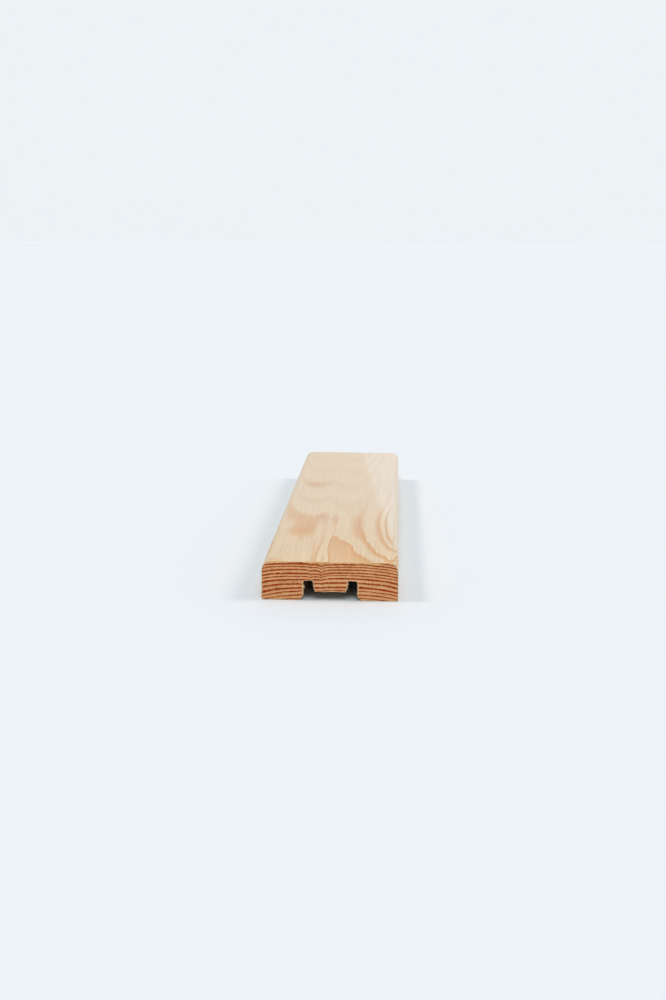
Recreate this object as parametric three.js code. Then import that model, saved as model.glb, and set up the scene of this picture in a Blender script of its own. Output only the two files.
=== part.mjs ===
// Timber cover strip: a planed softwood lath with rounded upper edges, cut square at both ends.
// Its back is machined with a channel. Inside the channel a central rib stands back from the soles,
// and a deeper slot runs down each side of the rib, for the two prongs of a fixing rail.
// Units are millimetres. X runs across the strip, Y along it and Z up from the soles it lies on.
// The origin is the middle of the underside, in the plane of the two soles.
import * as THREE from "three";

const stripLength = 350;
const stripWidth = 68;
const stripThickness = 20;

const upperEdgeRadius = 5; // rounding of the two long edges of the show face
const soleEdgeRadius = 0.6; // broken edge along the outside of each sole

const channelOffset = 0.3; // the channel was run this far to the right of the strip's middle
const ribWidth = 17.6; // at the rib's root, level with the slot roofs
const ribHeight = 5.7; // from the slot roofs down to the rib's face
const ribDraft = 7; // lean of the rib's sides in degrees, narrower towards its face
const ribLeftRadius = 2; // the cutter left the rib's two lower corners unequal
const ribRightRadius = 0.8;
const ribSetback = 4.3; // rib face above the plane of the soles

const slotWidth = 4.7; // between the rib's root and the leg
const slotRoofRadius = 1;

const mouthChamfer = 2; // 45 degree bevel on the inner edge of each sole
const mouthEdgeRadius = 0.6; // softens the two edges of that bevel

const arcSegments = 5; // a rounded corner has twice as many facets

// The outside of the section, and the channel about its own middle. Each is symmetric but for the rib.
const halfWidth = stripWidth / 2;
const halfRoot = ribWidth / 2;
const halfFace = halfRoot - Math.tan(THREE.MathUtils.degToRad(ribDraft)) * ribHeight;
const halfChannel = halfRoot + slotWidth;
const halfMouth = halfChannel + mouthChamfer;
const slotRoof = ribSetback + ribHeight;

// Corners run anticlockwise, as x, z and rounding radius. The channel is listed from left to right.
const outsideCorners = [
  [halfWidth, 0, soleEdgeRadius],
  [halfWidth, stripThickness, upperEdgeRadius],
  [-halfWidth, stripThickness, upperEdgeRadius],
  [-halfWidth, 0, soleEdgeRadius],
];
const channelCorners = [
  [-halfMouth, 0, mouthEdgeRadius],
  [-halfChannel, mouthChamfer, mouthEdgeRadius],
  [-halfChannel, slotRoof, slotRoofRadius],
  [-halfRoot, slotRoof, slotRoofRadius],
  [-halfFace, ribSetback, ribLeftRadius],
  [halfFace, ribSetback, ribRightRadius],
  [halfRoot, slotRoof, slotRoofRadius],
  [halfChannel, slotRoof, slotRoofRadius],
  [halfChannel, mouthChamfer, mouthEdgeRadius],
  [halfMouth, 0, mouthEdgeRadius],
].map(([x, z, radius]) => [x + channelOffset, z, radius]);

// The polygon through the corners, with each corner replaced by the arc that touches both its sides.
function roundedSection(corners) {
  const shape = new THREE.Shape();
  const points = corners.map(([x, z]) => new THREE.Vector2(x, z));
  points.forEach((at, i) => {
    const radius = corners[i][2];
    const toBefore = points.at(i - 1).clone().sub(at).normalize();
    const toAfter = points[(i + 1) % points.length].clone().sub(at).normalize();
    const halfAngle = Math.acos(toBefore.dot(toAfter)) / 2;
    const inward = toBefore.clone().add(toAfter).normalize();
    const centre = at.clone().addScaledVector(inward, radius / Math.sin(halfAngle));
    const reach = radius / Math.tan(halfAngle);
    const arcStart = at.clone().addScaledVector(toBefore, reach).sub(centre);
    const arcEnd = at.clone().addScaledVector(toAfter, reach).sub(centre);
    const clockwise = toBefore.cross(toAfter) > 0;
    shape.absarc(centre.x, centre.y, radius, arcStart.angle(), arcEnd.angle(), clockwise);
  });
  return shape;
}

// Extruded along Z, then stood so that the section's second axis points up and the length lies on Y.
const coverStrip = new THREE.Mesh(
  new THREE.ExtrudeGeometry(roundedSection([...outsideCorners, ...channelCorners]), {
    depth: stripLength,
    bevelEnabled: false,
    curveSegments: arcSegments,
  }),
  new THREE.MeshStandardMaterial({ color: "#dcc09a", roughness: 0.62, metalness: 0 }),
);
coverStrip.name = "cover_strip";
coverStrip.rotation.x = Math.PI / 2;
coverStrip.position.y = stripLength / 2;

const model = new THREE.Group();
model.add(coverStrip);
export default model;
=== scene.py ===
import math

import bpy
import numpy as np
from mathutils import Matrix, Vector
from mathutils.geometry import delaunay_2d_cdt


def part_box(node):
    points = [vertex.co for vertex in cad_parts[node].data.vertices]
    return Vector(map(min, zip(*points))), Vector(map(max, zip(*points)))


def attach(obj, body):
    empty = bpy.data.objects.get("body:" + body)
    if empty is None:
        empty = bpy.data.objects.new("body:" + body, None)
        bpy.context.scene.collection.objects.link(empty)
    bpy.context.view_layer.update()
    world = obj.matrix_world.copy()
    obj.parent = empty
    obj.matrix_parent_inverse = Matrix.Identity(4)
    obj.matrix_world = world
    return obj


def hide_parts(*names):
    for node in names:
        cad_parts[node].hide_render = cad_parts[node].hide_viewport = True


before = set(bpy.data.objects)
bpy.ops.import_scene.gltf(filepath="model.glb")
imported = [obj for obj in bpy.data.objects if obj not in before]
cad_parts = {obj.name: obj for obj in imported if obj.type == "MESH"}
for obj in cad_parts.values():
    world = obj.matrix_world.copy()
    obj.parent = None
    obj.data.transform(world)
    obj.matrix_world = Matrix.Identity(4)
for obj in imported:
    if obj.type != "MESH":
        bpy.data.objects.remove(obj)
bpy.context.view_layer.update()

# The modelling below is in millimetres. Blender's own lengths are metres.
mm = 0.001
stripLow, stripHigh = [np.array(corner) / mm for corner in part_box("cover_strip")]
stripLength = float(stripHigh[1] - stripLow[1])
stripWidth = float(stripHigh[0] - stripLow[0])
stripThickness = float(stripHigh[2] - stripLow[2])


# A value in a node tree. Arithmetic on it adds a Math node, so a formula reads as it is written.
class Signal:
    def __init__(self, tree, socket=None):
        self.tree = tree
        self.socket = socket

    # Any node: its settings are set first, then each input gets its value or its link.
    def node(self, kind, settings=None, inputs=None, output=0):
        made = self.tree.nodes.new(kind)
        for name, value in (settings or {}).items():
            setattr(made, name, value)
        for name, value in (inputs or {}).items():
            if isinstance(value, Signal):
                self.tree.links.new(value.socket, made.inputs[name])
            else:
                made.inputs[name].default_value = value
        return Signal(self.tree, made.outputs[output] if len(made.outputs) else None)

    def math(self, operation, *values):
        return self.node("ShaderNodeMath", {"operation": operation}, dict(enumerate(values)))

    def __add__(self, other):
        return self.math("ADD", self, other)

    def __radd__(self, other):
        return self.math("ADD", other, self)

    def __sub__(self, other):
        return self.math("SUBTRACT", self, other)

    def __rsub__(self, other):
        return self.math("SUBTRACT", other, self)

    def __mul__(self, other):
        return self.math("MULTIPLY", self, other)

    def __rmul__(self, other):
        return self.math("MULTIPLY", other, self)

    # 0 below low, 1 above high, and an S curve between them
    def ease(self, low, high):
        return self.node(
            "ShaderNodeMapRange",
            {"interpolation_type": "SMOOTHSTEP"},
            {"Value": self, "From Min": low, "From Max": high},
        )

    # a vector with each axis multiplied by its own factor
    def stretched(self, factors):
        return self.node("ShaderNodeVectorMath", {"operation": "MULTIPLY"}, {0: self, 1: factors})

    # noise about 0, from -0.5 to 0.5, on this vector
    def noise(self, detail, roughness):
        inputs = {"Vector": self, "Scale": 1.0, "Detail": detail, "Roughness": roughness}
        return self.node("ShaderNodeTexNoise", {"noise_dimensions": "3D"}, inputs) - 0.5

    # this share of the way from one colour to another
    def mixing(self, below, above):
        settings = {"data_type": "RGBA", "clamp_factor": True}
        return self.node("ShaderNodeMix", settings, {0: self, 6: below, 7: above}, output=2)


# The linear colour of an sRGB triple from 0 to 255.
def linear(red, green, blue):
    shares = np.array([red, green, blue]) / 255
    low = shares / 12.92
    high = ((shares + 0.055) / 1.055) ** 2.4
    return (*np.where(shares <= 0.04045, low, high).tolist(), 1.0)


# The bell curve exp(-t * t).
def bell(t):
    return np.exp(-t * t)


# 0 at start and 1 at end, straight between them and level beyond.
def ramp(value, start, end):
    return np.clip((value - start) / (end - start), 0, 1)


# The same with an S curve between them: t * t * (3 - 2 * t).
def ease(value, start, end):
    t = ramp(value, start, end)
    return t * t * (3 - 2 * t)


# A smooth pseudo-random field about 0: the sum of many sine waves, over the root of their number.
# Their directions and phases come from a seeded generator. grain is the feature size on each axis.
def ripple(x, y, z, grain, seed, waves=18):
    draw = np.random.default_rng(seed)
    directions = draw.normal(size=(waves, 3)) / np.array(grain)
    phases = draw.uniform(0, 2 * np.pi, waves)
    angles = np.stack([x, y, z], 1) @ directions.T * 2 + phases
    return np.sin(angles).sum(1) / math.sqrt(waves)


# Growth rings

growthRings = {
    # height above the soles of each dark latewood line, where the rings lie flat
    "crowns": [-1.4, 0.2, 1.8, 3.5, 5.3, 7.05, 9.05, 11.35, 12.85, 14.3, 16.05, 17.5, 19.0,
               20.9, 22.1, 24.2, 26.2, 28.0, 29.8, 31.6, 33.4, 35.2],
    # how bold each of those lines is
    "boldness": [0.5, 0.6, 0.5, 0.65, 0.5, 1.0, 0.7, 0.85, 0.65, 0.9, 0.85, 0.6, 0.92,
                 0.6, 0.8, 0.8, 0.8, 0.7, 0.7, 0.7, 0.7, 0.7],
    "showFrom": (17.5, 19.5),  # heights between which the values for the show face take over
    # a rise towards the right edge, measured from a curve along the strip
    "rise": {
        "curveX": 13.7,  # x of the curve along the middle of the strip
        "swing": 16.8,  # how far right of that it starts at the near end
        "swingLength": 31,
        "swingPower": 1.3,
        "drift": 10,  # how far right it drifts again towards the far end
        "driftFrom": 95,
        "driftLength": 75,
        "least": 0.2,  # rise far to the left of the curve
        "height": 1.9,  # rise on the curve
        "heightNear": 0.3,  # more of it at the near end
        "width": 13.3,  # distance over which it grows e-fold
        "widthNear": 2.8,  # less of that at the near end
        "nearLength": 18,  # how far the near end reaches
        "straightFrom": 10,  # distance past the curve from which it goes on straight
        "slope": 0.18,
        "firstSlope": 0.42,
        "firstReach": 3.6,
        "leftDip": 0.35,  # how much lower it is at the left of the show face
        "leftDipX": -6,
        "leftDipWidth": 1.5,
    },
    # a droop towards the left edge: its height and its reach across, each with what is added in the
    # lower rings and on the show face
    "droop": {
        "edgeX": -34,
        "height": (1.4, 1.8, 0.4),
        "reach": (5.5, 6, 4),
        "lowFrom": (14, 3),  # heights between which the lower rings begin
        "lasting": 0.45,  # share that goes on along the strip, under the show face
        "length": 25,
        "lengthShow": 9,
    },
    # a sharp V in the rings, blunt at the very top
    "vee": {
        "middleX": -4.2,
        "leftBelow": 0.6,  # how far left of that it is in the lower rings
        "belowFrom": (13.5, 10.5),
        "rightOnShow": 0.2,  # how far right it is on the show face
        "waist": 0.9,  # how far left it bends there, at waistY
        "waistY": 22,
        "height": 0.95,
        "leftWidth": 3.6,
        "rightWidth": 7,
        "tipHeight": 0.5,
        "tipWidth": 0.6,
        "bluntHeight": 1.42,
        "bluntWidth": 1.7,
        "bluntFlare": 2,  # how much wider the blunt form is at the near end
        "flareLength": 30,
        "bluntFrom": (18.7, 20),
        "length": 75,
        "lowFrom": (9.5, 14.5),  # heights between which it grows
    },
    # a tilt: the lift at the left and at the right, and what is added to it in the lower and in the
    # lowest rings
    "tilt": {
        "left": (0.1, 0.45, -0.25),
        "right": (-0.28, -0.3, 0.35),
        "lowFrom": (17, 13),
        "lowestLeftFrom": (7.5, 4.5),
        "lowestRightFrom": (8, 5),
        "turnX": -3,
        "turnWidth": 5,
        "fadeTop": (20, 18),
    },
    # arches across the show face
    "arches": [
        {
            "middleX": -17.5,
            "halfTip": 3.5,  # half width of the arch's tip
            "tipY": 119,
            "flanks": (0.34, 0.5),  # how fast it runs away along its left and its right flank
            "length": 60,  # over which it grows e-fold
            "height": 0.98,  # rise at the tip
            "evenFrom": 0.8,  # lengths past the tip from which it grows evenly
        },
        {
            "middleX": 1,
            "halfTip": 2,
            "tipY": 156,
            "flanks": (0.22, 0.4),
            "length": 42,
            "height": 1.5,
            "evenFrom": 0.0,
        },
    ],
    # local bumps and hollows: middle x, y and z, half sizes along them, rise
    "bumps": [
        (-18.5, 72, 20, 7.5, 11, 99, 0.42),
        (-20, 16, 20, 14, 36, 99, -0.28),
        (-9.3, 80, 20, 2.4, 30, 99, -0.7),
        (-28.5, 90, 20, 5, 16, 99, -0.45),
        (-17.8, 50, 20, 0.8, 9, 99, 0.35),
        (-9.4, 20, 20, 1.1, 32, 99, 0.5),
        (-3.8, 0, 20, 0.8, 16, 99, 0.25),
        (8, 32, 20, 6, 16, 99, -0.3),
        (12.5, 27, 20, 2.6, 6, 99, 0.16),
        (17.5, 8, 20, 3, 8, 99, -0.1),
        (-2, 66, 20, 2.5, 8, 99, 0.3),
        (18.5, 40, 20, 2, 6, 99, -0.1),
        (9.5, 134, 20, 4, 22, 99, -0.4),
        (9.5, 66, 20, 3.2, 22, 99, 0.22),
        (21.5, 85, 20, 1.8, 30, 99, 0.15),
        (-1.5, 107, 20, 2.6, 15, 99, -0.6),
        (-1, 70, 20, 1.3, 9, 99, -0.2),
        (22, 20, 20, 4, 8, 99, 0.15),
        (34, 12, 20, 7, 24, 99, -0.3),
        (28, 0, 18.6, 7, 20, 0.8, 0.45),
        (-16, 0, 18.4, 12, 20, 0.7, 0.3),
        (5, 0, 18.4, 9, 20, 0.7, 0.2),
        (3, 0, 8, 6, 20, 2, 0.3),
        (-13, 0, 4.5, 4, 20, 2.5, -0.35),
    ],
}


# The rise towards the right edge: the exponential of the distance past the curve over a width. More
# than straightFrom past it, it goes on in two straight stretches, and an S curve takes off the dip.
def riseAtRight(x, y, onShow):
    r = growthRings["rise"]
    near = np.exp(-y / r["nearLength"])
    swing = r["swing"] * np.exp(-((y / r["swingLength"]) ** r["swingPower"]))
    drift = r["drift"] * (1 - bell(np.maximum(y - r["driftFrom"], 0) / r["driftLength"]))
    past = x - (r["curveX"] + swing + drift)
    width = r["width"] - r["widthNear"] * near
    height = r["height"] + r["heightNear"] * near
    rise = r["least"] + height * np.exp(np.minimum(past, r["straightFrom"]) / width)
    beyond = past - r["straightFrom"]
    rise = rise + r["firstSlope"] * np.clip(beyond, 0, r["firstReach"])
    rise = rise + r["slope"] * np.maximum(beyond, 0)
    return rise - r["leftDip"] * onShow / (1 + np.exp((x - r["leftDipX"]) / r["leftDipWidth"]))


# The droop at the left edge: its height times an exponential that falls off across its reach.
def droopAtLeft(x, y, z, onShow):
    d = growthRings["droop"]
    low = ramp(z, *d["lowFrom"])
    under = d["lasting"] + (1 - d["lasting"]) * np.exp(-y / d["length"])
    along = under * (1 - onShow) + bell(y / d["lengthShow"]) * onShow
    height = d["height"][0] + d["height"][1] * low**2 + d["height"][2] * onShow
    reach = d["reach"][0] + d["reach"][1] * low + d["reach"][2] * onShow
    return height * along * np.exp(-(x - d["edgeX"]) / reach)


# The V: two exponentials of the distance from its middle, one broad and one narrow for the tip. At
# the top it turns into the blunt form, the exponential of the distance cubed.
def veeRise(x, y, z, onShow):
    v = growthRings["vee"]
    bend = v["rightOnShow"] - v["waist"] * bell((y - v["waistY"]) / v["waistY"])
    aside = x - (v["middleX"] - v["leftBelow"] * ramp(z, *v["belowFrom"]) + bend * onShow)
    distance = np.abs(aside)
    sharp = v["height"] * np.exp(-distance / np.where(aside < 0, v["leftWidth"], v["rightWidth"]))
    sharp = sharp + v["tipHeight"] * np.exp(-distance / v["tipWidth"])
    bluntWidth = v["bluntWidth"] + v["bluntFlare"] * bell(y / v["flareLength"])
    blunt = v["bluntHeight"] * np.exp(-((distance / bluntWidth) ** 3))
    form = sharp + (blunt - sharp) * ramp(z, *v["bluntFrom"])
    return bell(y / v["length"]) * ramp(z, *v["lowFrom"]) * form


# The tilt: from the left's lift to the right's by a tanh across turnX, fading out at the top.
def tiltRise(x, z):
    t = growthRings["tilt"]
    low = ramp(z, *t["lowFrom"])
    left = t["left"][0] + t["left"][1] * low + t["left"][2] * ramp(z, *t["lowestLeftFrom"])
    right = t["right"][0] + t["right"][1] * low + t["right"][2] * ramp(z, *t["lowestRightFrom"])
    share = 0.5 + 0.5 * np.tanh((x - t["turnX"]) / t["turnWidth"])
    return (left + (right - left) * share) * ramp(z, *t["fadeTop"])


# The higher of the arches. Each is an exponential of how far a point lies past the arch's curve, a
# parabola on either side of its tip.
def archRise(x, y):
    highest = 0
    for arch in growthRings["arches"]:
        flank = np.where(x < arch["middleX"], *arch["flanks"])
        aside = np.maximum(np.abs(x - arch["middleX"]) - arch["halfTip"], 0)
        past = (y - arch["tipY"] - flank * aside**2) / arch["length"]
        even = np.maximum(past - arch["evenFrom"], 0)
        grown = np.exp(np.minimum(past, arch["evenFrom"])) * (1 + even)
        highest = np.maximum(highest, arch["height"] * grown)
    return highest


# The growth ring number at points in mm, y from the near end. Each ring's dark line is at a whole
# number less a tenth. The height that a ring would have if it lay flat is the point's own height,
# plus the rise, the droop, the V, the tilt, the higher of the arches and the bumps.
def ringNumber(x, y, z):
    y = np.maximum(y, 0)
    onShow = ramp(z, *growthRings["showFrom"])
    flatHeight = z + riseAtRight(x, y, onShow) + droopAtLeft(x, y, z, onShow)
    flatHeight = flatHeight + veeRise(x, y, z, onShow) + tiltRise(x, z) + archRise(x, y)
    for middleX, middleY, middleZ, halfX, halfY, halfZ, amount in growthRings["bumps"]:
        over = bell((x - middleX) / halfX) * bell((y - middleY) / halfY)
        flatHeight = flatHeight + amount * over * bell((z - middleZ) / halfZ)
    crowns = growthRings["crowns"]
    return np.interp(flatHeight, crowns, np.arange(len(crowns)) + 0.9)


# How the rings show on the planed faces, and where painted light and a painted sheen make them paler.
# Lengths are in mm, y from the near end.
figure = {
    "showFrom": (15.5, 17.5),  # heights between which the show face's own figure takes over
    "fading": [(0.75, 95, 150), (0.03, 215, 275)],  # shares lost along it, from which y to which y
    "steepFading": (0.85, 25, 92),  # the same, where rings are cut steeply
    "edgeFading": (0.8, 15, 50),  # the same, by the right edge
    "edgeFrom": (29, 31.5),
    "steepness": (0.2, 0.6),  # rings a mm, cut at a low angle and cut steeply
    "softAndSheenFrom": (25, 175),  # where it turns soft, and where a painted sheen makes its earlywood paler
    "warmLength": 80,  # how far the near end's warmer colours reach
    # painted light: paler towards the right edge, where the rounding faces the light, and over more of
    # the right half towards the far end. It widens by the lean for each mm along the strip
    "paintedEdgeLean": 0.08,
    "paintedEdgeX": (32, 38),
    "paintedEdgeY": (10, 50),
    # where the figure is stronger or fainter: middle x and y, half sizes, amount
    "accents": [
        (-19, 212, 9, 16, 0.85),
        (-30, 135, 6, 18, 0.3),
        (-17, 158, 9, 14, 0.2),
        (-30, 2, 6, 7, -0.4),
        (-18.5, 72, 8, 14, 0.25),
        (-6.2, 78, 1.8, 28, -0.75),
        (-6.8, 38, 1.3, 14, -0.3),
        (-3.8, 8, 0.8, 10, -0.35),
        (-1, 107, 4, 16, -0.35),
        (-1, 72, 2, 11, -0.7),
        (-15.5, 100, 5, 9, -0.22),
        (-7.8, 20, 1.6, 20, -0.2),
        (2, 42, 3, 10, -0.15),
        (24, 50, 4, 14, 0.22),
        (13, 60, 3, 12, 0.2),
    ],
}


# How strong the figure is: 1 on the sides and below. On the show face it is 1 less the fadings, plus
# a bell for each accent, and less again where rings are cut steeply and by the right edge.
def figureStrength(x, y, z, steep):
    strength = 1
    for lost, start, end in figure["fading"]:
        strength = strength - lost * ease(y, start, end)
    for middleX, middleY, halfX, halfY, amount in figure["accents"]:
        strength = strength + amount * bell((x - middleX) / halfX) * bell((y - middleY) / halfY)
    lost, start, end = figure["steepFading"]
    strength = strength * (1 - lost * steep * ease(y, start, end))
    lost, start, end = figure["edgeFading"]
    strength = strength * (1 - lost * ease(x, *figure["edgeFrom"]) * ease(y, start, end))
    return 1 + (strength - 1) * ease(z, *figure["showFrom"])


# The strip's section

section = {
    "upperEdgeRadius": 5.0,
    "soleEdgeRadius": 0.6,
    "channelOffset": 0.3,
    "ribWidth": 17.6,
    "ribHeight": 5.7,
    "ribDraft": 7.0,
    "ribLeftRadius": 2.0,
    "ribRightRadius": 0.8,
    "ribSetback": 4.3,
    "slotWidth": 4.7,
    "slotRoofRadius": 1.0,
    "mouthChamfer": 2.0,
    "mouthEdgeRadius": 0.6,
    "cutEdgeRadius": 0.3,  # broken edge round each sawn end
}
halfRoot = section["ribWidth"] / 2
halfChannel = halfRoot + section["slotWidth"]
slotRoof = section["ribSetback"] + section["ribHeight"]


# The corners of the section, anticlockwise seen from the near end: x, z and rounding radius.
def sectionCorners():
    s = section
    half = stripWidth / 2
    face = halfRoot - math.tan(math.radians(s["ribDraft"])) * s["ribHeight"]
    mouth = halfChannel + s["mouthChamfer"]
    channel = [
        (-mouth, 0, s["mouthEdgeRadius"]),
        (-halfChannel, s["mouthChamfer"], s["mouthEdgeRadius"]),
        (-halfChannel, slotRoof, s["slotRoofRadius"]),
        (-halfRoot, slotRoof, s["slotRoofRadius"]),
        (-face, s["ribSetback"], s["ribLeftRadius"]),
        (face, s["ribSetback"], s["ribRightRadius"]),
        (halfRoot, slotRoof, s["slotRoofRadius"]),
        (halfChannel, slotRoof, s["slotRoofRadius"]),
        (halfChannel, s["mouthChamfer"], s["mouthEdgeRadius"]),
        (mouth, 0, s["mouthEdgeRadius"]),
    ]
    outside = [
        (half, 0, s["soleEdgeRadius"]),
        (half, stripThickness, s["upperEdgeRadius"]),
        (-half, stripThickness, s["upperEdgeRadius"]),
        (-half, 0, s["soleEdgeRadius"]),
    ]
    return outside + [(x + s["channelOffset"], z, radius) for x, z, radius in channel]


# The arc that rounds one corner: its centre lies on the bisector, and it touches both sides.
def cornerArc(before, corner, after, radius, count=24):
    toBefore = (before - corner) / np.linalg.norm(before - corner)
    toAfter = (after - corner) / np.linalg.norm(after - corner)
    halfAngle = math.acos(np.clip(toBefore @ toAfter, -1, 1)) / 2
    inward = (toBefore + toAfter) / np.linalg.norm(toBefore + toAfter)
    centre = corner + inward * radius / math.sin(halfAngle)
    start = corner + toBefore * radius / math.tan(halfAngle) - centre
    end = corner + toAfter * radius / math.tan(halfAngle) - centre
    first = math.atan2(start[1], start[0])
    turn = (math.atan2(end[1], end[0]) - first + math.pi) % (2 * math.pi) - math.pi
    angles = first + turn * np.linspace(0, 1, count)
    return centre + radius * np.stack([np.cos(angles), np.sin(angles)], 1)


# Points spread along a path so that the gap between them follows a wanted local spacing: equal steps
# of the integral of 1 / spacing.
def spread(lengths, spacing):
    steps = np.diff(lengths) * 2 / (spacing[1:] + spacing[:-1])
    measure = np.concatenate([[0], np.cumsum(steps)])
    count = int(round(measure[-1]))
    return np.interp(np.linspace(0, measure[-1], count + 1), measure, lengths)


meshSpacing = {
    "flat": 1.15,  # on the show face, the sides, the soles and the rib's face
    "curve": 0.55,  # on the two upper edges
    "dip": 0.5,  # over the sharp V in the rings
    "dipMiddle": -4,
    "dipHalfWidth": 5,
    "slot": 0.2,  # on the slot walls, where fibres are torn
    "ribHalfWidth": 6.5,  # half width of the rib's face without its corners
    "edge": 0.2,  # on the small roundings
    "margin": 0.5,  # how far the spacing of the edges and the slots reaches past them
    "mouthMargin": 0.8,
    "nearEnd": 0.24,  # along the strip, at the near end
    "farEnd": 0.5,  # and at the far end
    "middle": 3.2,  # and away from the ends
    "endReach": (4, 40),  # distances from an end between which the rows spread out
    "endFace": 0.38,  # across the sawn ends
    "edgeRows": 3,  # rows on each broken edge
    "samples": (8000, 4000),  # fine steps round the section and along the strip
}


# The section as a closed loop of points with their outward normals, close together where detail is:
# the arcs of the corners joined by straight lines.
def sectionLoop():
    corners = sectionCorners()
    points = np.array([(x, z) for x, z, radius in corners])
    arcs = [
        cornerArc(points[i - 1], points[i], points[(i + 1) % len(points)], corners[i][2])
        for i in range(len(points))
    ]
    outline = np.vstack(arcs + [arcs[0][:1]])
    lengths = np.concatenate([[0], np.cumsum(np.linalg.norm(np.diff(outline, axis=0), axis=1))])
    along = np.linspace(0, lengths[-1], meshSpacing["samples"][0])
    x = np.interp(along, lengths, outline[:, 0])
    z = np.interp(along, lengths, outline[:, 1])

    half = stripWidth / 2
    margin = meshSpacing["margin"]
    rounding = section["upperEdgeRadius"] + margin
    mouth = halfChannel + section["mouthChamfer"] + meshSpacing["mouthMargin"]
    atTop = z > stripThickness - rounding
    overDip = np.abs(x - meshSpacing["dipMiddle"]) < meshSpacing["dipHalfWidth"]
    inChannel = (np.abs(x - section["channelOffset"]) < mouth) & (z < slotRoof + margin)
    onRibFace = (np.abs(x) < meshSpacing["ribHalfWidth"]) & (z < slotRoof - margin)
    spacing = np.full(len(along), meshSpacing["flat"])
    spacing[atTop & (np.abs(x) > half - rounding)] = meshSpacing["curve"]
    spacing[atTop & overDip] = meshSpacing["dip"]
    spacing[inChannel & ~onRibFace] = meshSpacing["slot"]
    spacing[(np.abs(x) > half - 1) & (z < 1)] = meshSpacing["edge"]

    chosen = spread(along, spacing)[:-1]
    loop = np.stack([np.interp(chosen, along, x), np.interp(chosen, along, z)], 1)
    tangent = np.roll(loop, -1, 0) - np.roll(loop, 1, 0)
    tangent /= np.linalg.norm(tangent, axis=1, keepdims=True)
    normal = np.stack([tangent[:, 1], -tangent[:, 0]], 1)
    return loop, normal


# Distances from the near end at which the section is repeated, closer together at both ends.
def stations():
    edge = section["cutEdgeRadius"]
    along = np.linspace(edge, stripLength - edge, meshSpacing["samples"][1])
    inward = ramp(np.minimum(along, stripLength - along), *meshSpacing["endReach"])
    spacing = meshSpacing["nearEnd"] + (meshSpacing["middle"] - meshSpacing["nearEnd"]) * inward
    farHalf = along > stripLength / 2
    spacing = np.where(farHalf, np.maximum(spacing, meshSpacing["farEnd"]), spacing)
    return spread(along, spacing)


# What the cutters and the saw left on the strip's surface, and where the painted shade inside the
# channel begins. Lengths are in mm.
wear = {
    "tearing": 0.075,  # torn fibres along the slots
    "fraying": 0.12,  # coarser ones at the near end
    "frayingLength": 1.6,
    "chipping": 0.1,  # chips along the sharp edges
    "splinterWidth": 0.9,
    "arris": (0.04, 0.18, 0.11),  # wear of the arris: even, fine and coarse
    "arrisLength": 0.45,
    "arrisFrom": (14, 17),  # heights between which it begins
    # torn fibres at the near end: x and z of the root, how far they stand out of the wall, half
    # their thickness up the wall, and how far they run back along the strip; chips reach inwards
    "splinters": [
        (-13.2, 7.2, 1.1, 0.26, 1.6),
        (-13.2, 6.4, 0.8, 0.2, 1.1),
        (-13.2, 5.75, -0.2, 0.25, 2.5),
        (-13.2, 4.95, 0.42, 0.18, 1.4),
        (-13.2, 4.1, -0.16, 0.3, 3.0),
        (-13.2, 3.2, 0.28, 0.18, 1.6),
        (-13.2, 9.0, 0.24, 0.3, 2.5),
        (-13.2, 8.2, -0.25, 0.22, 1.8),
        (9.1, 9.2, -0.2, 0.2, 2.0),
        (9.1, 8.4, 0.65, 0.28, 1.7),
        (9.0, 7.65, -0.28, 0.2, 3.0),
        (8.95, 6.95, 0.55, 0.3, 2.2),
        (8.8, 6.4, -0.1, 0.16, 2.2),
        (8.7, 6.0, 0.3, 0.2, 2.0),
        (8.5, 5.3, -0.42, 0.3, 5.0),
        (8.2, 4.7, -0.35, 0.3, 4.0),
        (-8.1, 7.3, 0.16, 0.3, 2.0),
        (-7.9, 6.0, -0.12, 0.4, 3.0),
        (13.8, 3.95, 0.45, 0.36, 2.4),
        (13.8, 2.9, -0.2, 0.3, 3.0),
        (13.8, 5.2, -0.16, 0.4, 4.0),
        (13.8, 6.5, 0.24, 0.26, 2.0),
        (13.8, 7.9, -0.14, 0.3, 3.0),
        (13.8, 8.8, 0.16, 0.22, 2.0),
    ],
    # earlywood torn out of the ends by the saw: middle x and z, half sizes, and how badly
    "tornPatches": [
        (-20.5, 9.1, 6.0, 0.9, 1.0),
        (-26, 6.0, 4.0, 0.6, 0.6),
        (-22, 2.6, 5.0, 0.8, 0.7),
        (-4, 18.2, 3.0, 0.7, 0.7),
        (-5, 12.2, 4.0, 1.0, 0.4),
        (9, 13.4, 4.0, 0.8, 0.6),
        (3, 6.2, 5.0, 0.6, 0.6),
        (24, 8.2, 6.0, 0.7, 0.6),
        (25, 3.0, 6.0, 0.8, 0.7),
        (26, 18, 1.2, 0.4, 0.8),
    ],
    "bruiseReach": 0.7,  # width of the pale bruises round the slots on the sawn ends
    "bruisedArris": (1.1, 0.6),  # depths under the show face between which they begin along the arris
    # relief of the sawn ends: latewood stands out, and the rest lies lower
    "lineHeight": 0.05,
    "sawMarks": 0.016,
    "tornDepth": 0.12,
    "setback": 0.07,
    "rimWidth": 0.8,  # over which the relief begins at the rim
    "paintedShadeFrom": (0.4, 2.9),  # distances from an end between which the painted shade inside the channel begins
}


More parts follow.
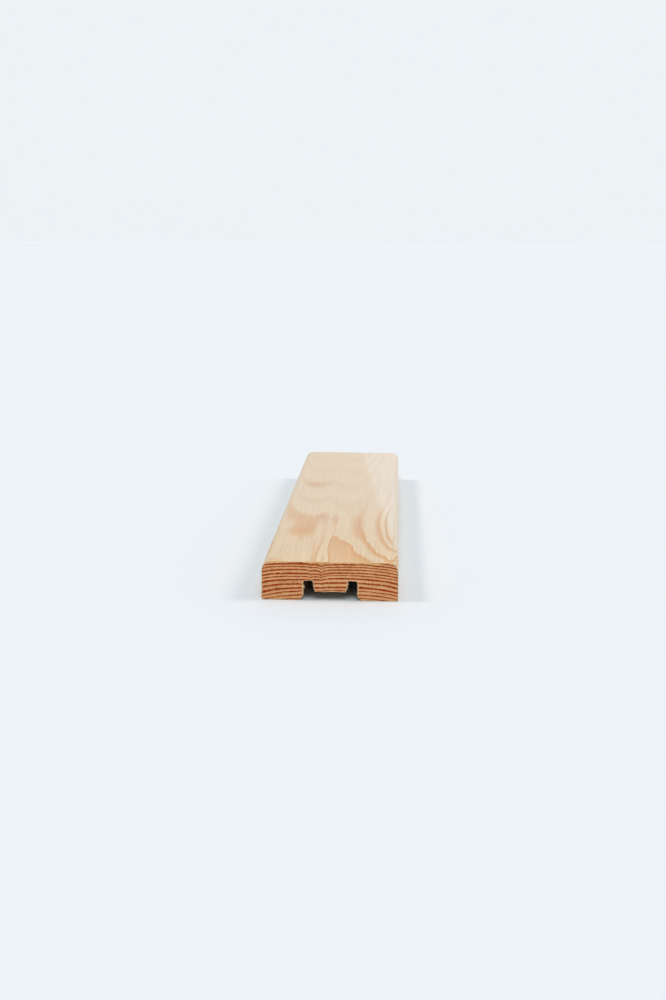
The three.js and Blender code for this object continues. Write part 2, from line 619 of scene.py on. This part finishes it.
# How far the strip's surface is pushed out along its normal, in mm: noise along the slot walls,
# coarser near the sawn end, a bell for each splinter, and small chips along the sharp edges.
def surfaceRelief(x, y, z, inSlot, onEdge):
    patchy = 0.5 + 0.5 * np.tanh(ripple(x, y, z, (9, 40, 3), seed=12))
    torn = ripple(x, y, z, (3, 14, 0.9), seed=11) * patchy
    frayed = ripple(x, y, z, (2, 3, 0.6), seed=14) * np.exp(-y / wear["frayingLength"])
    chipped = np.clip(ripple(x, y, z, (9, 7, 9), seed=13) - 0.9, 0, 1.2)
    relief = inSlot * (wear["tearing"] * torn + wear["fraying"] * frayed)
    relief = relief - wear["chipping"] * onEdge * chipped
    for rootX, rootZ, reach, halfHeight, run in wear["splinters"]:
        across = bell((z - rootZ) / halfHeight) * bell((x - rootX) / wear["splinterWidth"])
        relief = relief + reach * inSlot * across * np.exp(-np.maximum(y, 0) / run)
    return relief


# How frayed the arris of the show face is along the near end, in mm of wear: noise along x alone,
# falling off exponentially along the strip.
def arrisWear(x, y, z):
    nothing = 0 * x
    even, fine, coarse = wear["arris"]
    depth = even + fine * np.clip(ripple(x, nothing, nothing, (0.9, 1, 1), seed=15), 0, 2)
    depth = depth + coarse * np.clip(ripple(x, nothing, nothing, (4, 1, 1), seed=16), 0, 2)
    return depth * ramp(z, *wear["arrisFrom"]) * np.exp(-y / wear["arrisLength"])


# How torn the sawn face is at points of the section: the sum of the patches, broken up by noise.
def tornShare(x, z):
    grain = ripple(x, z, 0 * x, (0.7, 0.35, 1), seed=17)
    share = 0 * x
    for middleX, middleZ, halfX, halfZ, depth in wear["tornPatches"]:
        share = share + depth * bell((x - middleX) / halfX) * bell((z - middleZ) / halfZ)
    return np.clip(share * (0.6 + 0.9 * grain), 0, 1)


# How pale the sawn face is where a cutter bruised it: a share that falls off with the distance from
# a slot's wall, plus noise, or along the arris of the show face, whichever is more.
def bruiseShare(x, z, walls):
    toWall = np.hypot(x[:, None] - walls[:, 0], z[:, None] - walls[:, 1]).min(1)
    uneven = ripple(x, z, 0 * x, (1, 0.6, 1), seed=18)
    outer, inner = wear["bruisedArris"]
    arris = np.clip((z - stripThickness + outer) / (outer - inner) + 0.5 * uneven, 0, 1)
    return np.maximum(np.clip(0.6 - toWall / wear["bruiseReach"] + 0.6 * uneven, 0, 1), arris)


# A grid of points inside the end face, staggered and slightly shaken, clear of its boundary, and
# their distances from it. A point is inside when a ray from it crosses the boundary an odd number of
# times.
def endFacePoints(loop, spacing, seed, blocks=24):
    low, high = loop.min(0), loop.max(0)
    rows = np.arange(low[1], high[1], spacing * 0.87)
    columns = np.arange(low[0], high[0], spacing)
    x, z = np.meshgrid(columns, rows)
    x = x + (np.arange(len(rows)) % 2)[:, None] * spacing / 2
    shake = np.random.default_rng(seed).uniform(-0.18, 0.18, (2, *x.shape)) * spacing
    points = np.stack([(x + shake[0]).ravel(), (z + shake[1]).ravel()], 1)
    edge = np.roll(loop, -1, 0) - loop
    kept = []
    for block in np.array_split(points, blocks):
        fromStart = block[:, None] - loop
        toEnd = fromStart - edge
        crossing = (fromStart[..., 1] < 0) != (toEnd[..., 1] < 0)
        turn = edge[:, 0] * fromStart[..., 1] - edge[:, 1] * fromStart[..., 0]
        toTheRight = (turn > 0) == (edge[:, 1] > 0)
        inside = (crossing & toTheRight).sum(1) % 2 == 1
        share = np.clip((fromStart * edge).sum(2) / (edge**2).sum(1), 0, 1)
        nearest = np.linalg.norm(fromStart - share[..., None] * edge, axis=2).min(1)
        clear = inside & (nearest > spacing * 0.45)
        kept.append(np.column_stack([block[clear], nearest[clear]]))
    kept = np.vstack(kept)
    return kept[:, :2], kept[:, 2]


# One end face: Delaunay triangles between its boundary loop and the points inside it.
def endFaceTriangles(loop, inner):
    flat = np.vstack([loop, inner])
    boundary = list(range(len(loop)))
    result = delaunay_2d_cdt(flat.tolist(), [], [boundary], 1, 1e-6)
    origin = np.array([sources[0] for sources in result[3]])
    return origin[np.array(result[2])]


# How far the sawn face stands out along the strip: the latewood's height plus noise, less what is
# torn and less the setback, all beginning at the rim.
def sawnRelief(x, z, ring, torn, nearest, seed):
    share = ring % 1
    late = ramp(share, 0.55, 0.85) * ramp(share, 1, 0.95)
    rough = ripple(x, z, 0 * x, (0.9, 0.5, 1), seed=seed)
    height = wear["lineHeight"] * late + wear["sawMarks"] * rough - wear["tornDepth"] * torn
    return ramp(nearest, 0, wear["rimWidth"]) * (height - wear["setback"])


# The difference between the points after and before each one round the section.
def roundSection(values, count):
    rows = values.reshape(-1, count)
    return (np.roll(rows, -1, 1) - np.roll(rows, 1, 1)).ravel()


# The strip's long surface, one row of points for each station, and the points of the slots' walls in
# the section. The rows at both ends turn in on a quarter circle where the edges are broken. Wear
# moves a point inwards and relief moves it outwards, both along the section's normal.
def longSurface(loop, normal):
    count = len(loop)
    radius = section["cutEdgeRadius"]
    turn = np.linspace(0, math.pi / 2, meshSpacing["edgeRows"] + 1)[:-1]
    edgeInsets = radius * (1 - np.sin(turn))
    edgeRows = radius * (1 - np.cos(turn))
    middleRows = stations()
    yRows = np.concatenate([edgeRows, middleRows, (stripLength - edgeRows)[::-1]])
    insets = np.concatenate([edgeInsets, np.zeros(len(middleRows)), edgeInsets[::-1]])
    rows = len(yRows)

    height = loop[:, 1]
    depthIn = halfChannel - np.abs(loop[:, 0] - section["channelOffset"])
    inSlot = np.clip(depthIn / 0.3 + 1.2, 0, 1) * ramp(height, 2.2, 3) * (height < slotRoof + 0.1)
    # painted shade inside the channel: the wood is darkened where it lies in shade, more deeply in the
    # slots
    paintedShadeMask = ramp(depthIn, -0.5, 0) * ramp(height, slotRoof + 0.4, slotRoof + 0.2)
    paintedShadeMask = paintedShadeMask * (0.45 + 0.55 * ease(height, 4.6, 6.5))
    bend = np.linalg.norm(np.roll(normal, -2, 0) - np.roll(normal, 2, 0), axis=1)
    onEdge = ramp(bend, 0.5, 0.9)
    walls = loop[(inSlot > 0.5) & (height < slotRoof - 0.8)]

    y = np.repeat(yRows, count)
    startX, startZ = np.tile(loop, (rows, 1)).T
    normalX, normalZ = np.tile(normal, (rows, 1)).T
    worn = np.repeat(insets, count) + arrisWear(startX, y, startZ)
    x = startX - worn * normalX
    z = startZ - worn * normalZ
    relief = surfaceRelief(x, y, z, np.tile(inSlot, rows), np.tile(onEdge, rows))
    x = x + relief * normalX
    z = z + relief * normalZ

    ring = ringNumber(x, y, z)
    step = np.hypot(roundSection(x, count), roundSection(z, count))
    steepness = np.abs(roundSection(ring, count)) / step
    nearEdge = slice(0, len(edgeRows) * count)
    bruised = np.zeros(x.size)
    bruised[nearEdge] = bruiseShare(x[nearEdge], z[nearEdge], walls)
    fuzzy = np.clip(np.abs(relief) / 0.2, 0, 1) * np.tile(inSlot, rows)
    fromEnd = np.minimum(y, stripLength - y)
    surface = {
        "place": np.stack([x, y, z], 1),
        "ringNumber": ring,
        "ringSteepness": ramp(steepness, *figure["steepness"]),
        "paleFuzz": 0.7 * fuzzy + 0.6 * bruised,
        "tornGrain": np.zeros(x.size),
        "grooveShade": np.tile(paintedShadeMask, rows) * ramp(fromEnd, *wear["paintedShadeFrom"]),
    }
    return surface, walls


# One sawn end: the points inside its rim, standing out by the sawn relief, and the triangles between
# the rim's points and these.
def sawnEnd(rim, side, outward, seed, walls):
    inner, nearest = endFacePoints(rim, meshSpacing["endFace"], seed)
    x, z = inner.T
    ring = ringNumber(x, np.full(len(inner), side), z)
    torn = tornShare(x, z)
    proud = sawnRelief(x, z, ring, torn, nearest, seed)
    face = {
        "place": np.stack([x, side + outward * proud, z], 1),
        "ringNumber": ring,
        "ringSteepness": np.ones(len(inner)),
        "paleFuzz": bruiseShare(x, z, walls),
        "tornGrain": torn,
        "grooveShade": np.zeros(len(inner)),
    }
    return face, endFaceTriangles(rim, inner)


# Gives each vertex of a mesh its own number, for the materials to read.
def addAttribute(mesh, name, values):
    attribute = mesh.attributes.new(name, "FLOAT", "POINT")
    attribute.data.foreach_set("value", np.asarray(values, np.float32))


# The whole strip as one closed mesh: quads between the rows of the long surface, and a sawn end of
# triangles on the first and the last row. The far end's triangles are turned round to face outwards.
def buildStrip():
    loop, normal = sectionLoop()
    surface, walls = longSurface(loop, normal)
    index = np.arange(len(surface["place"])).reshape(-1, len(loop))
    beside = np.roll(index, -1, 1)
    quads = np.stack([index[:-1], beside[:-1], beside[1:], index[1:]], -1).reshape(-1, 4)
    parts = [surface]
    triangles = []
    for rimIndex, side, outward, seed in ((index[0], 0.0, -1, 21), (index[-1], stripLength, 1, 22)):
        rim = surface["place"][rimIndex][:, [0, 2]]
        face, found = sawnEnd(rim, side, outward, seed, walls)
        before = sum(len(part["place"]) for part in parts)
        number = np.concatenate([rimIndex, before + np.arange(len(face["place"]))])
        triangles.append(number[found][:, ::-outward])
        parts.append(face)

    fields = {name: np.concatenate([part[name] for part in parts]) for name in surface}
    place = fields.pop("place")
    x, y, z = place.T
    whole = np.floor(fields["ringNumber"])
    boldness = growthRings["boldness"]
    leaning = x + figure["paintedEdgeLean"] * y
    fields["ringBoldness"] = np.interp(whole, np.arange(len(boldness)), boldness)
    fields["figureSoftnessAndSheen"] = ramp(y, *figure["softAndSheenFrom"]) * ease(z, *figure["showFrom"])
    fields["figureStrength"] = figureStrength(x, y, z, fields["ringSteepness"])
    fields["nearEndWarmth"] = np.exp(-y / figure["warmLength"])
    fields["paintedEdgeLightShare"] = ease(leaning, *figure["paintedEdgeX"]) * ease(y, *figure["paintedEdgeY"])

    ends = np.vstack(triangles)
    vertices = place + [0, stripLow[1], 0]
    mesh = bpy.data.meshes.new("coverStrip")
    mesh.from_pydata((vertices * mm).tolist(), [], quads.tolist() + ends.tolist())
    mesh.polygons.foreach_set("material_index", np.repeat([0, 1], [len(quads), len(ends)]))
    mesh.polygons.foreach_set("use_smooth", np.ones(len(mesh.polygons), bool))
    for name, values in fields.items():
        addAttribute(mesh, name, values)
    mesh.update()
    piece = bpy.data.objects.new("cover_strip_timber", mesh)
    bpy.context.scene.collection.objects.link(piece)
    print("strip:", len(vertices), "vertices,", 2 * len(quads) + len(ends), "triangles")
    return piece


# Materials

longGrain = {
    "earlywood": linear(217, 195, 163),
    # painted sheen: paler earlywood away from the near end
    "earlywoodFarSheen": linear(218, 202, 178),
    # painted light towards the right edge
    "paintedEdgeLight": linear(224, 212, 194),
    "latewood": linear(208, 176, 147),
    "latewoodNear": linear(214, 175, 130),
    "latewoodDeep": linear(206, 169, 134),
    "latewoodDeepNear": linear(207, 147, 90),
    "latewoodLine": linear(198, 128, 64),
    "fleck": linear(190, 142, 100),
    "fuzz": linear(252, 214, 162),
    # painted shade inside the channel
    "paintedGrooveShade": linear(150, 92, 58),
    "roughness": 0.64,
    "bumpStrength": 0.25,
    "bumpDepth": 0.0001,
    # how far each of these moves a dark line, in rings
    "shift": 0.03,
    "waverShift": 0.1,
    "threadShift": (0.05, 0.35),  # everywhere, and added near the end
    "fibreShift": 0.08,
    # how much of each colour goes over the ones before it
    "deepShare": 0.75,
    "lineShare": 0.9,
    "fleckShare": 0.3,
    "fuzzShare": 0.9,
    "paintedShadeShare": 0.85,
    "threadContrast": (0.25, 0.65),  # light and dark of the threads, everywhere and near the end
    # noise patterns: turns a mm along x, y and z, detail, roughness
    "patterns": {
        "fibre": ((3.6, 0.045, 3.6), 3, 0.6),
        "fineFibre": ((9.0, 0.09, 9.0), 2, 0.6),
        "streak": ((0.7, 0.009, 0.7), 2, 0.5),
        "thread": ((1.7, 0.02, 1.7), 2, 0.6),
        "cloud": ((0.035, 0.012, 0.035), 2, 0.5),
        "waver": ((0.25, 0.03, 0.25), 2, 0.5),
        "canal": ((3.0, 0.16, 3.0), 1, 0.5),
    },
}

endGrain = {
    "earlywood": linear(238, 183, 127),
    "earlywoodDeep": linear(215, 140, 80),
    "latewood": linear(162, 44, 3),
    "ray": linear(252, 214, 164),
    "bruise": linear(255, 213, 148),
    "torn": linear(150, 78, 42),
    "roughness": 0.78,
    "bumpStrength": 0.4,
    "bumpDepth": 0.0002,
    "shift": 0.16,
    "waverShift": 0.2,
    "jaggedShift": 0.26,
    "rayShare": 0.5,
    "speckShare": 0.75,
    "tornShare": 0.55,
    "patterns": {
        "ray": ((5.0, 0.3, 0.35), 2, 0.5),
        "pore": ((4.5, 0.3, 4.5), 2, 0.7),
        "patch": ((0.16, 0.1, 0.3), 2, 0.5),
        "patchy": ((0.12, 0.1, 0.55), 2, 0.5),
        "waver": ((0.22, 0.2, 0.5), 3, 0.5),
        "jagged": ((1.4, 0.3, 1.6), 2, 0.5),
        "dash": ((0.7, 0.3, 2.0), 2, 0.5),
        "speck": ((1.5, 0.3, 2.2), 1, 0.5),
    },
}


# An empty node material, and the Signal to start its formulas from.
def newMaterial(name):
    material = bpy.data.materials.new(name)
    material.use_nodes = True
    material.node_tree.nodes.clear()
    return material, Signal(material.node_tree)


# The shader of a dull surface on the output, with these values or signals in its sockets.
def finishMaterial(start, values):
    shader = start.node("ShaderNodeBsdfPrincipled", {}, {**values, "Specular IOR Level": 0.1})
    start.node("ShaderNodeOutputMaterial", {}, {"Surface": shader})


# A number that the mesh holds at each vertex.
def attribute(start, name):
    return start.node("ShaderNodeAttribute", {"attribute_name": name}, {}, output="Fac")


# The noise patterns of a finish, on Object coordinates in mm.
def grainPatterns(start, finish):
    metres = start.node("ShaderNodeTexCoord", {}, {}, output="Object")
    place = metres.stretched((1 / mm, 1 / mm, 1 / mm))
    return {
        name: place.stretched(pace).noise(detail, roughness)
        for name, (pace, detail, roughness) in finish["patterns"].items()
    }


# The normal of a finish: a bump of this height.
def bumped(start, finish, height):
    inputs = {"Strength": finish["bumpStrength"], "Distance": finish["bumpDepth"], "Height": height}
    return start.node("ShaderNodeBump", {}, inputs)


# Planed faces: earlywood cream, tan where a ring's latewood is cut at a low angle, with fibres and resin
# canals running along the strip. Away from the near end the figure is softer and fainter, the thin lines
# of steep rings fade out, and a painted sheen makes the earlywood paler. Painted light makes the wood
# paler towards the right edge, and painted shade darkens it inside the channel, most in the slots.
def longGrainMaterial():
    material, start = newMaterial("planedLongGrain")
    noise = grainPatterns(start, longGrain)
    bold = attribute(start, "ringBoldness")
    steep = attribute(start, "ringSteepness")
    softAndSheen = attribute(start, "figureSoftnessAndSheen")
    near = attribute(start, "nearEndWarmth")
    kept = attribute(start, "figureStrength")

    # the place within a ring, from 0 to 1, and the masks that it gives
    shift, shiftNear = longGrain["threadShift"]
    ring = attribute(start, "ringNumber") - longGrain["shift"] + longGrain["waverShift"] * noise["waver"]
    ring = ring + (shift + shiftNear * near) * noise["thread"] + longGrain["fibreShift"] * noise["fibre"]
    share = ring.math("FRACT", ring)
    ending = 1 - share.ease(0.94 - 0.3 * softAndSheen, 1.0)
    late = share.ease(0.5 - 0.25 * softAndSheen, 0.74 + 0.08 * softAndSheen) * ending
    deep = share.ease(0.7, 0.95) * ending
    line = share.ease(0.62, 0.9) * ending * steep * (0.75 + 0.25 * bold)
    canal = noise["canal"].ease(0.24, 0.3)

    # painted sheen: the earlywood turns paler away from the near end
    colour = softAndSheen.mixing(longGrain["earlywood"], longGrain["earlywoodFarSheen"])
    # painted light: paler towards the right edge, and over more of the right half towards the far end
    colour = attribute(start, "paintedEdgeLightShare").mixing(colour, longGrain["paintedEdgeLight"])
    tan = near.mixing(longGrain["latewood"], longGrain["latewoodNear"])
    darkTan = near.mixing(longGrain["latewoodDeep"], longGrain["latewoodDeepNear"])
    colour = (late * kept).mixing(colour, tan)
    colour = (longGrain["deepShare"] * deep * kept).mixing(colour, darkTan)
    colour = (longGrain["lineShare"] * line * kept).mixing(colour, longGrain["latewoodLine"])
    colour = (longGrain["fleckShare"] * canal).mixing(colour, longGrain["fleck"])
    threads = 0.4 * noise["fibre"] + 0.2 * noise["fineFibre"] + 0.4 * noise["thread"]
    threads = threads + 0.35 * noise["streak"]
    contrast, contrastNear = longGrain["threadContrast"]
    tone = 1.0 + (contrast + contrastNear * near) * threads + 0.06 * noise["cloud"]
    colour = start.node("ShaderNodeHueSaturation", {}, {"Color": colour, "Value": tone})
    fuzz = longGrain["fuzzShare"] * attribute(start, "paleFuzz")
    # painted shade: the wood inside the channel is mixed towards a dark brown
    paintedGrooveShade = longGrain["paintedShadeShare"] * attribute(start, "grooveShade")
    colour = paintedGrooveShade.mixing(fuzz.mixing(colour, longGrain["fuzz"]), longGrain["paintedGrooveShade"])

    roughness = longGrain["roughness"] + 0.15 * noise["fibre"] - 0.05 * late
    height = 0.6 * noise["fibre"] + 0.4 * noise["fineFibre"] + 0.25 * late - 0.5 * canal
    normal = bumped(start, longGrain, height)
    finishMaterial(start, {"Base Color": colour, "Roughness": roughness, "Normal": normal})
    return material


# Sawn ends: the same rings cut across, much darker, with fine rays up through them. Bold lines are
# also thicker, every line is broken into dashes, and pale specks of torn fibre lie between them.
def endGrainMaterial():
    material, start = newMaterial("sawnEndGrain")
    noise = grainPatterns(start, endGrain)
    bruise = attribute(start, "paleFuzz")
    torn = attribute(start, "tornGrain")
    ring = attribute(start, "ringNumber") - endGrain["shift"] + endGrain["waverShift"] * noise["waver"]
    ring = ring + endGrain["jaggedShift"] * noise["jagged"]
    share = ring.math("FRACT", ring)
    bold = attribute(start, "ringBoldness") + 1.1 * noise["patchy"]
    onset = 0.66 - 0.34 * bold
    late = share.ease(onset, onset + 0.3) * (1 - share.ease(0.93, 1.0))
    strength = (0.74 + 0.45 * bold + 1.3 * noise["dash"]) * (1 - 0.75 * bruise)

    depth = 0.5 + 1.2 * noise["patch"] + 0.6 * noise["ray"]
    colour = depth.mixing(endGrain["earlywood"], endGrain["earlywoodDeep"])
    colour = (late * strength).mixing(colour, endGrain["latewood"])
    colour = (endGrain["rayShare"] * noise["ray"].ease(0.06, 0.26)).mixing(colour, endGrain["ray"])
    specks = endGrain["speckShare"] * noise["speck"].ease(0.12, 0.24) * (1 - 0.7 * late)
    colour = specks.mixing(colour, endGrain["ray"])
    colour = bruise.mixing(colour, endGrain["bruise"])
    colour = (endGrain["tornShare"] * torn).mixing(colour, endGrain["torn"])
    tone = 1.0 + 0.9 * noise["pore"] + 0.6 * noise["jagged"] - 0.25 * noise["speck"].ease(0.1, 0.24)
    colour = start.node("ShaderNodeHueSaturation", {}, {"Color": colour, "Value": tone})

    roughness = endGrain["roughness"] + 0.1 * noise["pore"]
    height = 0.8 * noise["pore"] + 0.4 * late + 0.3 * noise["ray"]
    normal = bumped(start, endGrain, height)
    finishMaterial(start, {"Base Color": colour, "Roughness": roughness, "Normal": normal})
    return material


strip = buildStrip()
strip.data.materials.append(longGrainMaterial())
strip.data.materials.append(endGrainMaterial())
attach(strip, "root")
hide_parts("cover_strip")
print("strip and its two finishes made")


# Studio

studio = {
    "floorSize": 60.0,  # metres
    "floorColour": (0.772, 0.823, 0.845, 1.0),
    "floorRoughness": 0.9,
    "horizonGlow": (0.838, 0.896, 0.919, 1.0),
    "skyGlow": (0.11, 0.213, 0.265, 1.0),
    "glowEnds": (0.17, 0.3),  # the horizon's glow ends between these heights of the view's direction
    "glowLift": 0.25,  # how much higher at the back and at the sides
    "glowLiftFrom": (-0.45, 0.0),
    # suns: name, direction that the light comes from, share of the floor's light, spread in
    # degrees, colour
    "suns": [
        ("keyLeft", (-0.86, 0.0, 1.0), 0.2, 16, (1.3, 1.0, 0.9)),
        ("softRight", (0.98, 0.12, 1.0), 0.19, 25, (1.35, 1.0, 0.9)),
        ("overhead", (0.0, 0.1, 1.0), 0.065, 60, (0.92, 1.0, 1.04)),
        ("front", (0.08, -0.7, 1.0), 0.285, 34, (0.92, 1.0, 1.04)),
        ("back", (0.05, 1.0, 0.6), 0.03, 40, (1.12, 1.0, 0.95)),
    ],
}


# The floor: one wide square at the height of the soles.
def buildFloor():
    half = studio["floorSize"] / 2
    corners = [(-half, -half, 0), (half, -half, 0), (half, half, 0), (-half, half, 0)]
    mesh = bpy.data.meshes.new("studioFloor")
    mesh.from_pydata(corners, [], [(0, 1, 2, 3)])
    material, start = newMaterial("paleFloor")
    finishMaterial(start, {"Base Color": studio["floorColour"], "Roughness": studio["floorRoughness"]})
    mesh.materials.append(material)
    floor = bpy.data.objects.new("studio_floor", mesh)
    bpy.context.scene.collection.objects.link(floor)


# A pale glow round the horizon, higher at the back and the sides, and a dimmer one above it.
def buildWorld():
    world = bpy.data.worlds.new("studioWorld")
    world.use_nodes = True
    world.node_tree.nodes.clear()
    start = Signal(world.node_tree)
    direction = start.node("ShaderNodeTexCoord", {}, {}, output="Generated")
    height = start.node("ShaderNodeSeparateXYZ", {}, {"Vector": direction}, output="Z")
    away = start.node("ShaderNodeSeparateXYZ", {}, {"Vector": direction}, output="Y")
    lowered = height - studio["glowLift"] * away.ease(*studio["glowLiftFrom"])
    glow = lowered.ease(*studio["glowEnds"]).mixing(studio["horizonGlow"], studio["skyGlow"])
    background = start.node("ShaderNodeBackground", {}, {"Color": glow, "Strength": 1.0})
    start.node("ShaderNodeOutputWorld", {}, {"Surface": background})
    bpy.context.scene.world = world


# A sun whose light on the floor is its share of a full white: strength * sine of its height / pi.
def buildSuns():
    for name, source, share, spreadAngle, colour in studio["suns"]:
        direction = np.array(source) / np.linalg.norm(source)
        lamp = bpy.data.lights.new(name, "SUN")
        lamp.energy = share * math.pi / float(direction[2])
        lamp.angle = math.radians(spreadAngle)
        lamp.color = colour
        sun = bpy.data.objects.new(name, lamp)
        across = np.cross((0.0, 1.0, 0.0), direction)
        across /= np.linalg.norm(across)
        up = np.cross(direction, across)
        sun.matrix_world = Matrix(np.column_stack([across, up, direction]).tolist()).to_4x4()
        bpy.context.scene.collection.objects.link(sun)


# The photograph's camera: its place in mm from the strip's origin, its angles in degrees, and its lens
# and sensor width in mm.
camera = {
    "place": (31.18, -843.36, 179.06),
    "down": 10.842,
    "left": 2.551,
    "roll": -0.339,
    "lens": 50.0,
    "sensorWidth": 36.0,
    "clip": (0.01, 200.0),  # nearest and furthest that it sees, in metres
}


# The camera's axes: forward from its two angles, right level with the floor, and then both axes of
# the image turned by the roll.
def buildCamera():
    down, left, roll = [math.radians(camera[name]) for name in ("down", "left", "roll")]
    level = np.array([-math.sin(left), math.cos(left), 0.0])
    forward = level * math.cos(down) - np.array([0.0, 0.0, math.sin(down)])
    right = np.array([math.cos(left), math.sin(left), 0.0])
    lower = np.cross(forward, right)
    imageRight = math.cos(roll) * right + math.sin(roll) * lower
    imageDown = -math.sin(roll) * right + math.cos(roll) * lower
    data = bpy.data.cameras.new("camera")
    data.lens = camera["lens"]
    data.sensor_width = camera["sensorWidth"]
    data.clip_start, data.clip_end = camera["clip"]
    body = bpy.data.objects.new("camera", data)
    matrix = Matrix(np.column_stack([imageRight, -imageDown, -forward]).tolist()).to_4x4()
    matrix.translation = [value * mm for value in camera["place"]]
    body.matrix_world = matrix
    bpy.context.scene.collection.objects.link(body)
    bpy.context.scene.camera = body


buildFloor()
buildWorld()
buildSuns()
buildCamera()
bpy.context.scene.view_settings.view_transform = "Standard"
print("studio and camera made")
